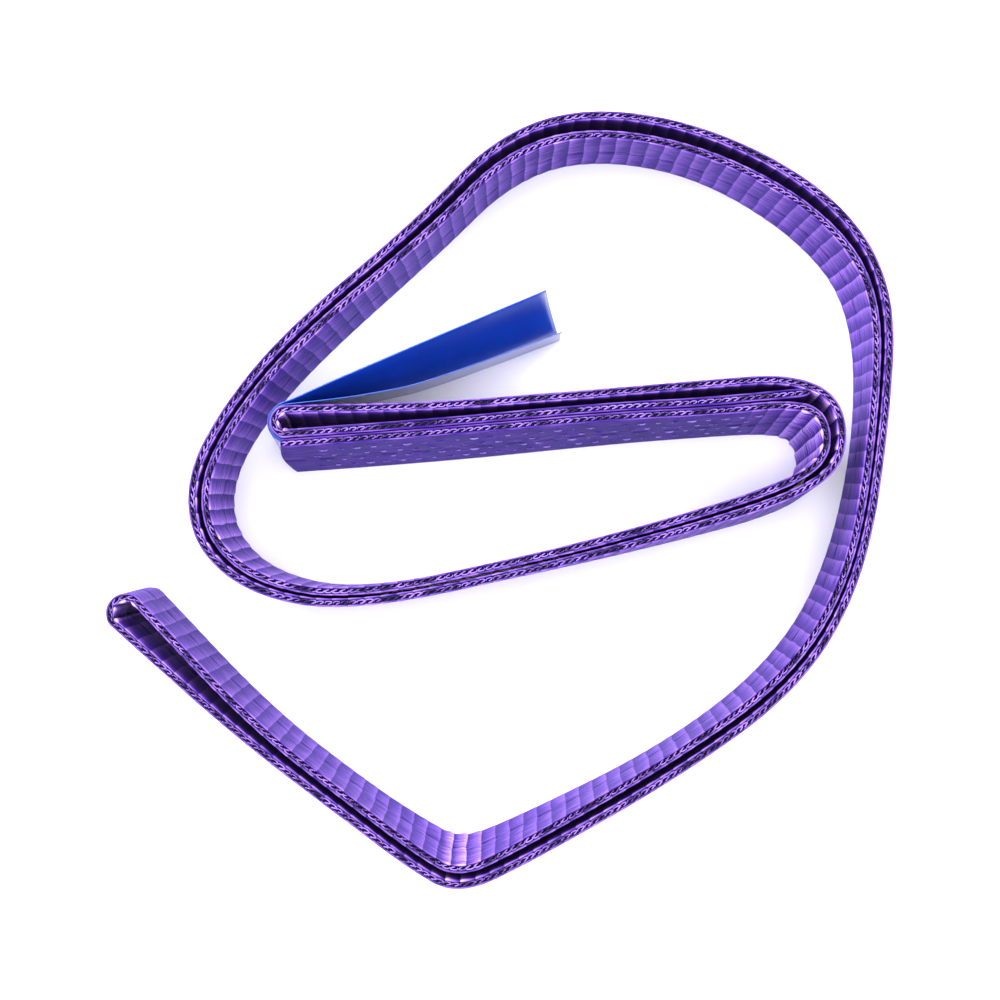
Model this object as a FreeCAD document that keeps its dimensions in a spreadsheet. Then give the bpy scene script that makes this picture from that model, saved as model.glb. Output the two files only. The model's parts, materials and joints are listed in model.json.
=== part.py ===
import FreeCAD, Part
import math
import os

# Endless flat web sling, lying on its edge as a loose spiral. One length of webbing runs round
# twice: its two plies lie side by side, fold back at a bight at each end, and its cut ends overlap
# in one sewn joint. A two-leaf label is caught in that joint.
# Millimetres, +Z up. The origin is on the floor, under the middle of the spiral.

DRIVING = {
    "web_width": 30.0,
    "web_thickness": 2.4,
    "joint_clearance": 0.4,  # between the two sewn plies, where the label's tail lies
    "under_ply_setback": 1.8,  # from the joint's tail station to the inner cut end of the web
    "over_ply_reach": 22.0,  # from the joint's head station to the outer cut end of the web
    "label_bight_setback": 1.5,
    "bight_lead": 3.5,  # straight web on each side of a fold
    "bight_clearance": 0.05,  # between a fold and the plies that it joins
    "seam_count": 4,
    "seam_pitch": 6.0,  # between the rows of sewing, across the web
    "thread_width": 0.9,
    "thread_height": 0.35,
    "thread_clearance": 0.04,
    "thread_inset": 4.0,  # from the fold to the first stitch
    "label_height": 29.0,
    "label_leaf_thickness": 0.5,
    "label_wrap_thickness": 0.8,
    "label_wrap_clearance": 0.1,
    "label_tail_thickness": 0.3,
    "label_tail_length": 20.0,
    "hinge_gap": 2.4,  # free space left in the plies where the sling bends
    "shift_x": -0.47,
    "shift_y": 0.08,
}

# The line midway between the two plies, along their top edges. Each station is a corner of the
# route, which tangent arcs round: name, x, y, gap between the plies, and how far the top edge
# leans out over the bottom edge, in x and y.
STATIONS = [
    ("joint_tail", -62.0, 21.3, 6.2, 0.0, 6.8),
    ("joint_quarter", -20.0, 23.0, 4.2, 0.0, 6.6),
    ("joint_middle", 30.0, 26.4, 3.9, 0.0, 6.2),
    ("joint_head", 62.0, 28.9, 5.0, 0.4, 5.6),
    ("hairpin_entry", 82.0, 30.4, 4.8, 1.0, 5.4),
    ("hairpin_top", 93.6, 26.6, 2.6, 1.4, 5.4),
    ("hairpin_bottom", 95.2, 12.2, 1.4, 1.4, 5.4),
    ("hairpin_exit", 84.0, 3.6, 1.2, 1.0, 5.0),
    ("lower_run_head", 50.0, -7.6, 0.8, 0.4, 3.0),
    ("lower_run_middle", 8.0, -18.4, 0.8, 0.0, 1.4),
    ("lower_run_tail", -42.0, -28.7, 0.8, 0.0, 0.8),
    ("left_bend_bottom", -68.0, -24.5, 1.0, 0.0, 0.2),
    ("left_bend_low", -83.0, -12.5, 1.4, 0.0, 0.0),
    ("left_bend_high", -86.0, 5.0, 1.4, 0.0, 0.0),
    ("left_bend_top", -76.5, 24.0, 1.8, -0.3, 0.3),
    ("rise_low", -58.0, 46.0, 2.4, -0.6, 0.8),
    ("rise_high", -20.0, 77.3, 2.8, -0.8, 1.4),
    ("crown_left", 1.5, 99.5, 3.1, -0.4, 1.2),
    ("crown_top", 26.0, 107.5, 3.1, 0.0, 0.8),
    ("crown_right", 60.0, 101.5, 3.2, 0.0, 0.0),
    ("shoulder_high", 91.5, 82.6, 2.8, -0.8, 0.0),
    ("shoulder_low", 107.6, 59.5, 1.4, -1.6, 0.0),
    ("side_high", 107.4, 22.0, 0.8, -2.4, 0.0),
    ("side_low", 99.6, -20.0, 0.8, -2.2, 0.0),
    ("fall_high", 83.6, -50.0, 1.4, -1.0, -0.4),
    ("fall_middle", 50.0, -74.0, 2.0, 0.0, -1.2),
    ("fall_low", 5.0, -100.3, 2.0, 0.0, -1.8),
    ("corner_near", -12.0, -108.5, 1.8, 0.0, -2.4),
    ("corner_far", -24.0, -101.5, 2.0, 0.0, -1.6),
    ("leg_near", -40.3, -87.4, 1.8, 0.2, 0.2),
    ("leg_middle", -70.6, -64.2, 2.2, 0.6, 0.8),
    ("leg_end", -105.9, -32.0, 6.4, 0.0, 0.0),
]
FIELDS = ("x", "y", "gap", "lean_x", "lean_y")

# Named stretches of the two plies, from the middle of the run after one station to the middle
# of the run after another, and which end of it stops short at a hinge, where the sling bends.
STRETCHES = [
    ("hairpin", "joint_head", "hairpin_exit", ""),
    ("lower_run", "hairpin_exit", "lower_run_tail", ""),
    ("left_bend", "lower_run_tail", "left_bend_top", ""),
    ("rise", "left_bend_top", "rise_high", "end"),
    ("crown", "rise_high", "crown_right", "start"),
    ("shoulder", "crown_right", "shoulder_low", "end"),
    ("side", "shoulder_low", "side_low", "start"),
    ("fall", "side_low", "fall_low", ""),
    ("corner", "fall_low", "corner_near", "end"),
]
PLIES = ((1, "outer"), (-1, "inner"))

# The label's two leaves: corners of the top edge, and how far each leans out over the bottom edge.
OUTER_LEAF = [
    (-59.2, 28.4, 0.0, 4.0),
    (-50.0, 32.7, -0.6, 4.9),
    (-38.0, 37.8, -1.4, 6.6),
    (-19.0, 46.0, -2.4, 9.4),
    (13.0, 59.4, -4.2, 8.8),
]
INNER_LEAF = [
    (-59.2, 27.4, 0.0, 4.0),
    (-50.0, 28.3, 0.0, 1.5),
    (-38.0, 29.9, 0.0, 0.2),
    (-19.0, 33.6, 0.0, -0.4),
    (17.6, 47.6, -0.4, -0.8),
]
ARC_SHARE = 0.41  # of the shorter run beside a corner, taken by its tangent arc
BIGHT_CORNERS = 4  # corners of the route round a half turn

doc = FreeCAD.newDocument("FlatWebSling")


def make_sheet():
    """The spreadsheet of driving sizes: the named ones, then one row of cells per station."""
    sheet = doc.addObject("Spreadsheet::Sheet", "Sizes")
    rows = list(DRIVING.items())
    for name, *values in STATIONS:
        rows += [(f"{name}_{field}", value) for field, value in zip(FIELDS, values)]
    for number, (alias, value) in enumerate(rows, start=1):
        sheet.set(f"A{number}", alias)
        sheet.set(f"B{number}", str(value))
        sheet.setAlias(f"B{number}", alias)
    doc.recompute()
    return sheet


SIZES = make_sheet()


def size(alias):
    """The value of one cell."""
    return float(SIZES.get(alias))


def unit(a, b):
    """The unit vector from a to b, and the distance between them."""
    dx, dy = b[0] - a[0], b[1] - a[1]
    length = math.hypot(dx, dy)
    return (dx / length, dy / length), length


def along(point, direction, distance):
    """The point that lies this far from another in a direction."""
    return (point[0] + direction[0] * distance, point[1] + direction[1] * distance)


def midpoint(a, b):
    """The point halfway between two."""
    return ((a[0] + b[0]) / 2, (a[1] + b[1]) / 2)


def left_of(direction):
    """The direction a quarter turn to the left."""
    return (-direction[1], direction[0])


def turn_between(into, out):
    """The angle from one direction to another, positive to the left."""
    return math.atan2(into[0] * out[1] - into[1] * out[0], into[0] * out[0] + into[1] * out[1])


def corner_offset(points, index, distance):
    """A route's corner moved to the left by distance, with the arc round it still about one centre.
    A corner is x, y and the length of its tangent arc's legs."""
    here = points[index]
    before = points[max(index - 1, 0)]
    after = points[min(index + 1, len(points) - 1)]
    into = unit(before, here)[0] if index > 0 else unit(here, after)[0]
    out = unit(here, after)[0] if index < len(points) - 1 else into
    bisector = (left_of(into)[0] + left_of(out)[0], left_of(into)[1] + left_of(out)[1])
    share = 2 * distance / (bisector[0] ** 2 + bisector[1] ** 2)
    leg = here[2] - distance * math.tan(turn_between(into, out) / 2)
    return (*along(here, bisector, share), leg)


def read_stations():
    """Each station's values, from the sheet, in the row frame."""
    rows = []
    for name, *_ in STATIONS:
        x, y, gap, lean_x, lean_y = (size(f"{name}_{field}") for field in FIELDS)
        rows.append((x + size("shift_x"), y + size("shift_y"), gap, lean_x, lean_y))
    return rows


def with_tangents(corners):
    """Corners with the length of the tangent arc's legs added to each, as a third value."""
    rounded = [(*corners[0][:2], 0.0)]
    for before, here, after in zip(corners, corners[1:], corners[2:]):
        rounded.append((*here[:2], ARC_SHARE * min(unit(before, here)[1], unit(here, after)[1])))
    return rounded + [(*corners[-1][:2], 0.0)]


ROWS = read_stations()
NAMES = [name for name, *_ in STATIONS]
WEB = size("web_thickness")


def ply_route(side):
    """Corners of one ply's lower and upper edge, with side +1 for the outer ply, -1 for the inner."""
    middle = with_tangents(ROWS)
    half = [(row[2] + WEB) / 2 for row in ROWS]
    high = [corner_offset(middle, number, side * half[number]) for number in range(len(ROWS))]
    low = [(p[0] - row[3], p[1] - row[4], p[2]) for p, row in zip(high, ROWS)]
    return low, high


def ribbon_side(corners, offset):
    """One long side of a ribbon, as edges: runs joined by tangent arcs, offset to the left."""
    edges = []
    into, _ = unit(corners[0], corners[1])
    start = along(corners[0], left_of(into), offset)
    for before, here, after in zip(corners, corners[1:], corners[2:]):
        into, _ = unit(before, here)
        out, _ = unit(here, after)
        tangent = here[2]
        radius = tangent / math.tan(turn_between(into, out) / 2)
        leg_start = along(here, into, -tangent)
        centre = along(leg_start, left_of(into), radius)
        middle = along(centre, unit(centre, here)[0], abs(radius - offset))
        arc_start = along(leg_start, left_of(into), offset)
        arc_end = along(along(here, out, tangent), left_of(out), offset)
        edges += [("line", start, arc_start), ("arc", arc_start, middle, arc_end)]
        start = arc_end
    out, _ = unit(corners[-2], corners[-1])
    edges.append(("line", start, along(corners[-1], left_of(out), offset)))
    return edges


def vector(point):
    """A point of a sketch."""
    return FreeCAD.Vector(point[0], point[1], 0)


def outline(corners, thickness):
    """The closed plan of a ribbon: up its right side, across, back along its left side."""
    right = ribbon_side(corners, -thickness / 2)
    left = ribbon_side(corners, thickness / 2)
    back = [(kind, *reversed(points)) for kind, *points in reversed(left)]
    across = ("line", right[-1][-1], back[0][1])
    close = ("line", back[-1][-1], right[0][1])
    return right + [across] + back + [close]


def plane_of(body):
    """The body's own XY plane."""
    return next(f for f in body.Origin.OriginFeatures if f.Role == "XY_Plane")


def add_sketch(body, name, edges, height):
    """A sketch of these edges on the body's XY plane, raised by a height that the sheet gives."""
    sketch = body.newObject("Sketcher::SketchObject", name)
    sketch.AttachmentSupport = [(plane_of(body), "")]
    sketch.MapMode = "FlatFace"
    sketch.setExpression("AttachmentOffset.Base.z", height)
    for kind, *points in edges:
        corners = [vector(p) for p in points]
        shape = Part.LineSegment(*corners) if kind == "line" else Part.Arc(*corners)
        sketch.addGeometry(shape, False)
    sketch.Visibility = False
    return sketch


def ribbon(name, low, high, thickness, low_height="0", high_height="Sizes.web_width"):
    """A strip that stands on its edge: a loft from the plan of its lower edge to its upper one."""
    body = doc.addObject("PartDesign::Body", name)
    body.Label = name
    foot = add_sketch(body, name + "_lower_edge", outline(low, thickness), low_height)
    head = add_sketch(body, name + "_upper_edge", outline(high, thickness), high_height)
    loft = body.newObject("PartDesign::AdditiveLoft", name + "_strip")
    loft.Profile = foot
    loft.Sections = [head]
    loft.Ruled = True
    body.Tip = loft
    return body


def cut_route(route, first, last, at_start=0.0, at_end=0.0):
    """The corners between two stations, cut across the middle of the runs beyond them."""
    ends = []
    for number, moved in ((first, at_start), (last, -at_end)):
        run = route[number], route[number + 1]
        ends.append(along(midpoint(*run), unit(*run)[0], moved))
    return [ends[0]] + route[first + 1 : last + 1] + [ends[1]]


def make_stretch(name, first, last, hinge_end):
    """Both plies of one named stretch. hinge_end says which end stops short, where a bend's hinge is."""
    at_start = size("hinge_gap") / 2 if hinge_end == "start" else 0.0
    at_end = size("hinge_gap") / 2 if hinge_end == "end" else 0.0
    first, last = NAMES.index(first), NAMES.index(last)
    for side, ply in PLIES:
        low, high = (cut_route(r, first, last, at_start, at_end) for r in ply_route(side))
        ribbon(f"web_{name}_{ply}", low, high, WEB)


def make_leg():
    """Both plies of the free leg, from the corner's hinge to the fold at its end."""
    first, last = NAMES.index("corner_near"), NAMES.index("leg_end")
    for side, ply in PLIES:
        cuts = []
        for route in ply_route(side):
            corners = cut_route(route, first, last - 1, size("hinge_gap") / 2)[:-1]
            backwards = unit(route[last], route[last - 1])[0]
            cuts.append(corners + [along(route[last], backwards, size("bight_lead"))])
        ribbon(f"web_leg_{ply}", *cuts, WEB)


def half_turn(start, end, towards):
    """Corners of a half turn from start to end, bulging towards a direction."""
    centre = midpoint(start, end)
    across, diameter = unit(start, end)
    step = math.pi / BIGHT_CORNERS
    reach = diameter / 2 / math.cos(step / 2)
    corners = []
    for number in range(BIGHT_CORNERS):
        angle = step * (number + 0.5)
        point = along(centre, across, -reach * math.cos(angle))
        corners.append(along(point, towards, reach * math.sin(angle)))
    return corners


def bight_route(first, second, lead):
    """Corners of a fold between two plies: a half turn between two short straight leads. Each ply is
    given as the point where the fold starts and the direction that the ply has there."""
    (start, into), (end, out) = first, second
    towards = unit((0, 0), (into[0] + out[0], into[1] + out[1]))[0]
    corners = [along(start, into, -lead)] + half_turn(start, end, towards) + [along(end, out, -lead)]
    return with_tangents(corners)


def make_free_bight():
    """The fold at the end of the free leg, where the hook goes."""
    station = NAMES.index("leg_end")
    cuts = []
    for inner, outer in zip(ply_route(-1), ply_route(1)):
        plies = [(ply[station], unit(ply[station - 1], ply[station])[0]) for ply in (inner, outer)]
        cuts.append(bight_route(*plies, size("bight_lead") - size("bight_clearance")))
    ribbon("web_free_bight", *cuts, WEB)


def joint_route(offset, start, end):
    """Corners beside the sewn inner ply, offset to the left, from start past its tail station to
    end past its head station: the lower edge's and the upper edge's."""
    tail, head = NAMES.index("joint_tail"), NAMES.index("joint_head")
    routes = []
    for route in ply_route(-1):
        corners = [corner_offset(route, number, offset) for number in range(tail, head + 2)]
        first = along(corners[0], unit(corners[0], corners[1])[0], start)
        last = along(corners[-2], unit(corners[-2], corners[-1])[0], end)
        routes.append([first] + corners[1:-1] + [last])
    return routes


def to_hairpin():
    """From the joint's head station to the middle of the run after it, where the hairpin starts."""
    head = NAMES.index("joint_head")
    return unit(ROWS[head], ROWS[head + 1])[1] / 2


def make_joint():
    """The straight layers beside each other: two sewn plies, and the outer ply beside them."""
    tail, head = NAMES.index("joint_tail"), NAMES.index("joint_head")
    over = WEB + size("joint_clearance")
    after_bight = size("label_bight_setback") + size("bight_lead")
    under_cuts = joint_route(0.0, size("under_ply_setback"), to_hairpin())
    for cut, route in zip(under_cuts, ply_route(-1)):
        cut[-1] = midpoint(route[head], route[head + 1])
    ribbon("web_joint_under_ply", *under_cuts, WEB)
    ribbon("web_joint_over_ply", *joint_route(over, after_bight, size("over_ply_reach")), WEB)
    outer_cuts = []
    for route in ply_route(1):
        start = along(route[tail], unit(route[tail], route[tail + 1])[0], after_bight)
        outer_cuts.append([start] + cut_route(route, tail, head)[1:])
    ribbon("web_joint_outer_ply", *outer_cuts, WEB)


def at_height(low, high, height):
    """A leaning strip's corners at a height between its lower edge and its upper edge."""
    share = height / size("web_width")
    leans = [(b[0] - a[0], b[1] - a[1]) for a, b in zip(low, high)]
    return [(*along(corner, lean, share), *corner[2:]) for corner, lean in zip(low, leans)]


def label_bight_plies(apart):
    """The two plies that the fold at the sewn joint starts from, moved apart, on its lower edge and
    on its upper edge."""
    tail = NAMES.index("joint_tail")
    over = WEB + size("joint_clearance")
    edges = []
    for inner, outer in zip(ply_route(-1), ply_route(1)):
        plies = []
        for route, offset in ((outer, apart), (inner, over - apart)):
            forwards = unit(route[tail], route[tail + 1])[0]
            point = along(corner_offset(route, tail, offset), forwards, size("label_bight_setback"))
            plies.append((point, (-forwards[0], -forwards[1])))
        edges.append(plies)
    return edges


def make_label_bight():
    """The fold at the sewn joint, with the label's wrap round it."""
    lead = size("bight_lead") - size("bight_clearance")
    web = [bight_route(*plies, lead) for plies in label_bight_plies(0.0)]
    ribbon("web_label_bight", *web, WEB)
    thickness = size("label_wrap_thickness")
    apart = (WEB + thickness) / 2 + size("label_wrap_clearance")
    low, high = (bight_route(*p, size("bight_clearance")) for p in label_bight_plies(apart))
    high = at_height(low, high, size("label_height"))
    ribbon("label_wrap", low, high, thickness, high_height="Sizes.label_height")


def make_label():
    """The label: a tail sewn into the joint, and two leaves that stand clear of the web."""
    middle = (WEB + size("joint_clearance")) / 2
    tail_start = size("label_bight_setback") + size("label_wrap_thickness")
    low, high = (
        [route[0], along(route[0], unit(route[0], route[1])[0], size("label_tail_length"))]
        for route in joint_route(middle, tail_start, 0.0)
    )
    high = at_height(low, high, size("label_height"))
    ribbon("label_tail", low, high, size("label_tail_thickness"), high_height="Sizes.label_height")
    for name, leaf in (("label_outer_leaf", OUTER_LEAF), ("label_inner_leaf", INNER_LEAF)):
        top = with_tangents([(x + size("shift_x"), y + size("shift_y")) for x, y, *_ in leaf])
        foot = [(p[0] - row[2], p[1] - row[3], p[2]) for p, row in zip(top, leaf)]
        thickness = size("label_leaf_thickness")
        ribbon(name, foot, top, thickness, high_height="Sizes.label_height")


def make_threads():
    """Rows of sewing through the joint: the needle's thread in front, the bobbin's behind."""
    count = int(size("seam_count"))
    half = size("thread_width") / 2
    proud = (WEB + size("thread_height")) / 2 + size("thread_clearance")
    faces = (("needle", -proud), ("bobbin", WEB + size("joint_clearance") + proud))
    for face, offset in faces:
        start = size("label_bight_setback") + size("bight_lead") + size("thread_inset")
        low, high = joint_route(offset, start, to_hairpin() - size("thread_clearance"))
        for number in range(count):
            middle = size("web_width") / 2 + (number - (count - 1) / 2) * size("seam_pitch")
            row = f"Sizes.web_width / 2 + ({number} - (Sizes.seam_count - 1) / 2) * Sizes.seam_pitch"
            ribbon(
                f"{face}_thread_{number + 1}",
                at_height(low, high, middle - half),
                at_height(low, high, middle + half),
                size("thread_height"),
                row + " - Sizes.thread_width / 2",
                row + " + Sizes.thread_width / 2",
            )


def finish_and_export():
    """Recompute, refuse anything that failed, and write each sub-part to its own file."""
    doc.recompute()
    for item in doc.Objects:
        bad = [state for state in item.State if state in ("Invalid", "Error")]
        if bad:
            raise RuntimeError(f"{item.Name}: {bad}")
    os.makedirs("parts", exist_ok=True)
    box = FreeCAD.BoundBox()
    for body in [item for item in doc.Objects if item.TypeId == "PartDesign::Body"]:
        shape = body.Shape
        if shape.isNull() or not shape.isValid() or shape.Volume <= 0:
            raise RuntimeError(f"{body.Label}: the shape is not valid")
        box.add(shape.BoundBox)
        shape.exportStep(f"parts/{body.Label}.step")
        print(f"{body.Label}: {shape.Volume:.0f} mm3, {len(shape.Solids)} solid(s)")
    print("middle of the box:", box.Center, "size:", box.XLength, box.YLength, box.ZLength)


for entry in STRETCHES:
    make_stretch(*entry)
make_leg()
make_free_bight()
make_joint()
make_label_bight()
make_label()
make_threads()
finish_and_export()
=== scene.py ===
import json
import logging
import math
from dataclasses import dataclass, field
from enum import Enum
from typing import Any, NamedTuple

import bpy
import numpy as np
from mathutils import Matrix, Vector


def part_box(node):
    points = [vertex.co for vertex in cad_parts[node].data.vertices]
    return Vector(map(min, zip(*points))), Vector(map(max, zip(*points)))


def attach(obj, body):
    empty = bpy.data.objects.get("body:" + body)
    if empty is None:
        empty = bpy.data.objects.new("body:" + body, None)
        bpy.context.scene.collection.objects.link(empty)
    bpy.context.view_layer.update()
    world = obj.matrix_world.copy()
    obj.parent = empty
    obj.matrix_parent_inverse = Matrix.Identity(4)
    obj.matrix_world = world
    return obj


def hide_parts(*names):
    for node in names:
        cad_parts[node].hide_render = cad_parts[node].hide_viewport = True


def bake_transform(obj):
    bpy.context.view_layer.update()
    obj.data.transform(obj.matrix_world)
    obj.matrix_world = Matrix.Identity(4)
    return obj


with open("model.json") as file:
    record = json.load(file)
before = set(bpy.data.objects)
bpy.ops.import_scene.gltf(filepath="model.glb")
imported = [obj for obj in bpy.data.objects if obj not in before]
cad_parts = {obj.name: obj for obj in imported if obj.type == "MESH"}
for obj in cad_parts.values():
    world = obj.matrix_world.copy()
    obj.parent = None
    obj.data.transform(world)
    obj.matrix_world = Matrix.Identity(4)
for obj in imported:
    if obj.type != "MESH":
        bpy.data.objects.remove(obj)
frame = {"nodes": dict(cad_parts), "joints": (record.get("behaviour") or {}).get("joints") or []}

# An endless flat web sling that lies on its edge as a loose spiral: one length of violet polyester
# webbing runs round twice, folds back at each end and is sewn to itself, with a two-leaf label
# caught in the sewn joint. Sizes are in millimetres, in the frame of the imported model, and become
# metres where a mesh is made.

log = logging.getLogger("web_sling")
MM = 0.001
SHIFT = np.array((-0.47, 0.08))  # from the middle of the spiral's floor box to the route's own zero


class Station(NamedTuple):
    """A corner of the line midway between the two plies, at their top edges."""

    name: str
    x: float
    y: float
    gap: float
    lean_x: float
    lean_y: float


STATIONS = [
    Station("joint_tail", -62.0, 20.8, 7.2, 0.0, 6.4),
    Station("joint_quarter", -20.0, 22.7, 5.0, 0.0, 6.5),
    Station("joint_middle", 30.0, 27.0, 4.3, 0.0, 5.9),
    Station("joint_head", 62.0, 29.2, 5.6, 0.4, 5.0),
    Station("hairpin_entry", 82.0, 30.9, 4.8, 1.0, 6.0),
    Station("hairpin_top", 93.7, 26.7, 2.6, 1.9, 5.8),
    Station("hairpin_bottom", 95.3, 12.2, 1.7, 1.5, 5.4),
    Station("hairpin_exit", 84.1, 3.3, 1.2, 1.1, 4.8),
    Station("lower_run_head", 50.0, -7.6, 0.8, 0.4, 3.0),
    Station("lower_run_middle", 8.0, -18.6, 0.8, 0.0, 1.6),
    Station("lower_run_tail", -42.0, -28.9, 0.8, 0.0, 1.1),
    Station("left_bend_bottom", -68.1, -24.9, 1.0, 0.0, 0.2),
    Station("left_bend_low", -83.5, -12.8, 1.4, -1.0, -0.6),
    Station("left_bend_high", -86.2, 5.0, 1.4, -1.9, 0.3),
    Station("left_bend_top", -76.7, 24.1, 1.3, -1.5, 1.1),
    Station("rise_low", -58.3, 46.4, 1.3, -1.8, 2.0),
    Station("rise_high", -20.5, 77.9, 1.9, -0.2, 0.7),
    Station("crown_left", 1.0, 100.3, 2.5, -0.4, 1.2),
    Station("crown_top", 26.0, 107.8, 3.1, 0.0, 0.4),
    Station("crown_right", 60.0, 101.6, 3.2, -0.2, -0.5),
    Station("shoulder_high", 92.6, 83.8, 2.8, 0.3, 1.3),
    Station("shoulder_low", 109.1, 59.9, 1.4, 0.0, 0.4),
    Station("side_high", 107.6, 22.0, 0.8, -2.9, 0.1),
    Station("side_low", 101.0, -20.5, 0.8, -1.0, -0.4),
    Station("fall_high", 84.0, -50.4, 1.4, -1.2, -0.2),
    Station("fall_middle", 50.5, -74.8, 2.0, -1.8, 1.7),
    Station("fall_low", 5.2, -100.6, 2.0, -0.4, -1.1),
    Station("corner_near", -12.0, -108.5, 1.8, 0.0, -2.4),
    Station("corner_far", -24.0, -101.5, 2.0, 0.0, -1.6),
    Station("leg_near", -41.2, -88.6, 1.8, 0.0, 0.0),
    Station("leg_middle", -71.6, -65.4, 2.2, 0.0, 0.0),
    Station("leg_end", -105.9, -32.0, 6.4, 0.0, 0.0),
]
# The label's leaves: corners of the top edge, and how far each leans out over the bottom edge.
OUTER_LEAF = [
    (-59.2, 28.4, 0.0, 4.0),
    (-50.0, 32.7, -0.6, 4.9),
    (-38.0, 37.8, -1.4, 6.6),
    (-19.0, 46.0, -2.4, 9.4),
    (13.0, 59.4, -4.2, 8.8),
]
INNER_LEAF = [
    (-59.2, 27.4, 0.0, 4.0),
    (-50.0, 28.3, 0.0, 1.5),
    (-38.0, 29.9, 0.0, 0.2),
    (-19.0, 33.6, 0.0, -0.4),
    (17.6, 47.6, -0.4, -0.8),
]


class Ply(Enum):
    """Which of the two plies of a stretch, and on which side of the middle line it lies."""

    OUTER = 1
    INNER = -1


# ---------------------------------------------------------------- helpers


def linear(colour: str) -> tuple[float, float, float, float]:
    """Turn an sRGB hex colour to the linear values that a node's socket takes.

    Args:
        colour: the colour, such as "#6B49BC".

    Returns:
        Red, green and blue as linear values, and 1 for alpha.
    """
    shares = [int(colour[i : i + 2], 16) / 255 for i in (1, 3, 5)]
    bent = [c / 12.92 if c <= 0.04045 else ((c + 0.055) / 1.055) ** 2.4 for c in shares]
    return (*bent, 1.0)


def add_node(
    tree: bpy.types.NodeTree,
    kind: str,
    inputs: dict[int | str, Any] | None = None,
    settings: dict[str, Any] | None = None,
) -> bpy.types.Node:
    """Add one node with its settings, its inputs' values and its links.

    Args:
        tree: the node tree that gets the node.
        kind: the node's type, such as "ShaderNodeMath".
        inputs: what each input takes, by its name or place: a value, or a socket to link from.
        settings: the node's own settings, by name.

    Returns:
        The new node.
    """
    node = tree.nodes.new(kind)
    for name, value in (settings or {}).items():
        setattr(node, name, value)
    for key, value in (inputs or {}).items():
        named = [s for s in node.inputs if s.name == key and s.enabled]
        socket = node.inputs[key] if isinstance(key, int) else named[0]
        if isinstance(value, bpy.types.NodeSocket):
            tree.links.new(value, socket)
        else:
            socket.default_value = value
    return node


def new_material(name: str) -> tuple[bpy.types.Material, bpy.types.NodeTree, bpy.types.Node]:
    """Make a material with an empty Principled shader.

    Args:
        name: the real material's name.

    Returns:
        The material, its node tree and its Principled shader.
    """
    material = bpy.data.materials.new(name)
    material.use_nodes = True
    tree = material.node_tree
    return material, tree, tree.nodes["Principled BSDF"]


def new_tree(name: str, sockets: dict[str, str]) -> tuple[bpy.types.NodeTree, bpy.types.Node]:
    """Start a Geometry Nodes tree that takes and gives a geometry.

    Args:
        name: the tree's name.
        sockets: the type of each named input after the geometry.

    Returns:
        The tree and its group input node.
    """
    tree = bpy.data.node_groups.new(name, "GeometryNodeTree")
    tree.interface.new_socket("Geometry", in_out="INPUT", socket_type="NodeSocketGeometry")
    tree.interface.new_socket("Geometry", in_out="OUTPUT", socket_type="NodeSocketGeometry")
    for label, kind in sockets.items():
        tree.interface.new_socket(label, in_out="INPUT", socket_type="NodeSocket" + kind)
    return tree, add_node(tree, "NodeGroupInput")


def finish_tree(tree: bpy.types.NodeTree, geometry: bpy.types.NodeSocket) -> None:
    """End a tree in Realize Instances and Set Material.

    Args:
        tree: the tree, whose inputs include one named Material.
        geometry: the socket that gives the finished shape.
    """
    given = next(n for n in tree.nodes if n.bl_idname == "NodeGroupInput")
    real = add_node(tree, "GeometryNodeRealizeInstances", {"Geometry": geometry})
    smooth = add_node(tree, "GeometryNodeSetShadeSmooth", {"Geometry": real.outputs[0]})
    painted = {"Geometry": smooth.outputs[0], "Material": given.outputs["Material"]}
    dressed = add_node(tree, "GeometryNodeSetMaterial", painted)
    add_node(tree, "NodeGroupOutput", {"Geometry": dressed.outputs[0]})


def add_object(name: str, mesh: bpy.types.Mesh) -> bpy.types.Object:
    """Put a mesh in the scene as an object at the origin.

    Args:
        name: the piece's name.
        mesh: its mesh, in metres in the row frame.

    Returns:
        The new object.
    """
    piece = bpy.data.objects.new(name, mesh)
    bpy.context.scene.collection.objects.link(piece)
    return piece


def run_tree(
    source: bpy.types.Object, tree: bpy.types.NodeTree, values: dict[str, Any], name: str
) -> bpy.types.Object:
    """Run a Geometry Nodes tree on an object and keep its result as a plain mesh.

    Args:
        source: the object that the tree works on, which is removed afterwards.
        tree: the Geometry Nodes tree.
        values: the value of each named input of the tree.
        name: the name of the piece that is made.

    Returns:
        The new piece.
    """
    modifier = source.modifiers.new("shape", "NODES")
    modifier.node_group = tree
    sockets = [i for i in tree.interface.items_tree if getattr(i, "in_out", "") == "INPUT"]
    for socket in sockets:
        if socket.name in values:
            modifier[socket.identifier] = values[socket.name]
    graph = bpy.context.evaluated_depsgraph_get()
    mesh = bpy.data.meshes.new_from_object(
        source.evaluated_get(graph), preserve_all_data_layers=True, depsgraph=graph
    )
    source.modifiers.remove(modifier)
    bpy.data.objects.remove(source)
    mesh.name = name
    return add_object(name, mesh)


def set_vectors(mesh: bpy.types.Mesh, name: str, values: np.ndarray) -> None:
    """Store a vector for each point of a mesh.

    Args:
        mesh: the mesh.
        name: the attribute's name.
        values: one row of three numbers per point.
    """
    attribute = mesh.attributes.new(name, "FLOAT_VECTOR", "POINT")
    attribute.data.foreach_set("vector", np.ascontiguousarray(values, np.float32).ravel())


# ---------------------------------------------------------------- the route of a strip


def unit(vectors: np.ndarray) -> np.ndarray:
    """Scale each row of an array to length 1."""
    return vectors / np.linalg.norm(vectors, axis=-1, keepdims=True)


def left_of(directions: np.ndarray) -> np.ndarray:
    """Turn each direction of the floor plan a quarter turn to the left."""
    return np.stack((-directions[..., 1], directions[..., 0]), axis=-1)


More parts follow.
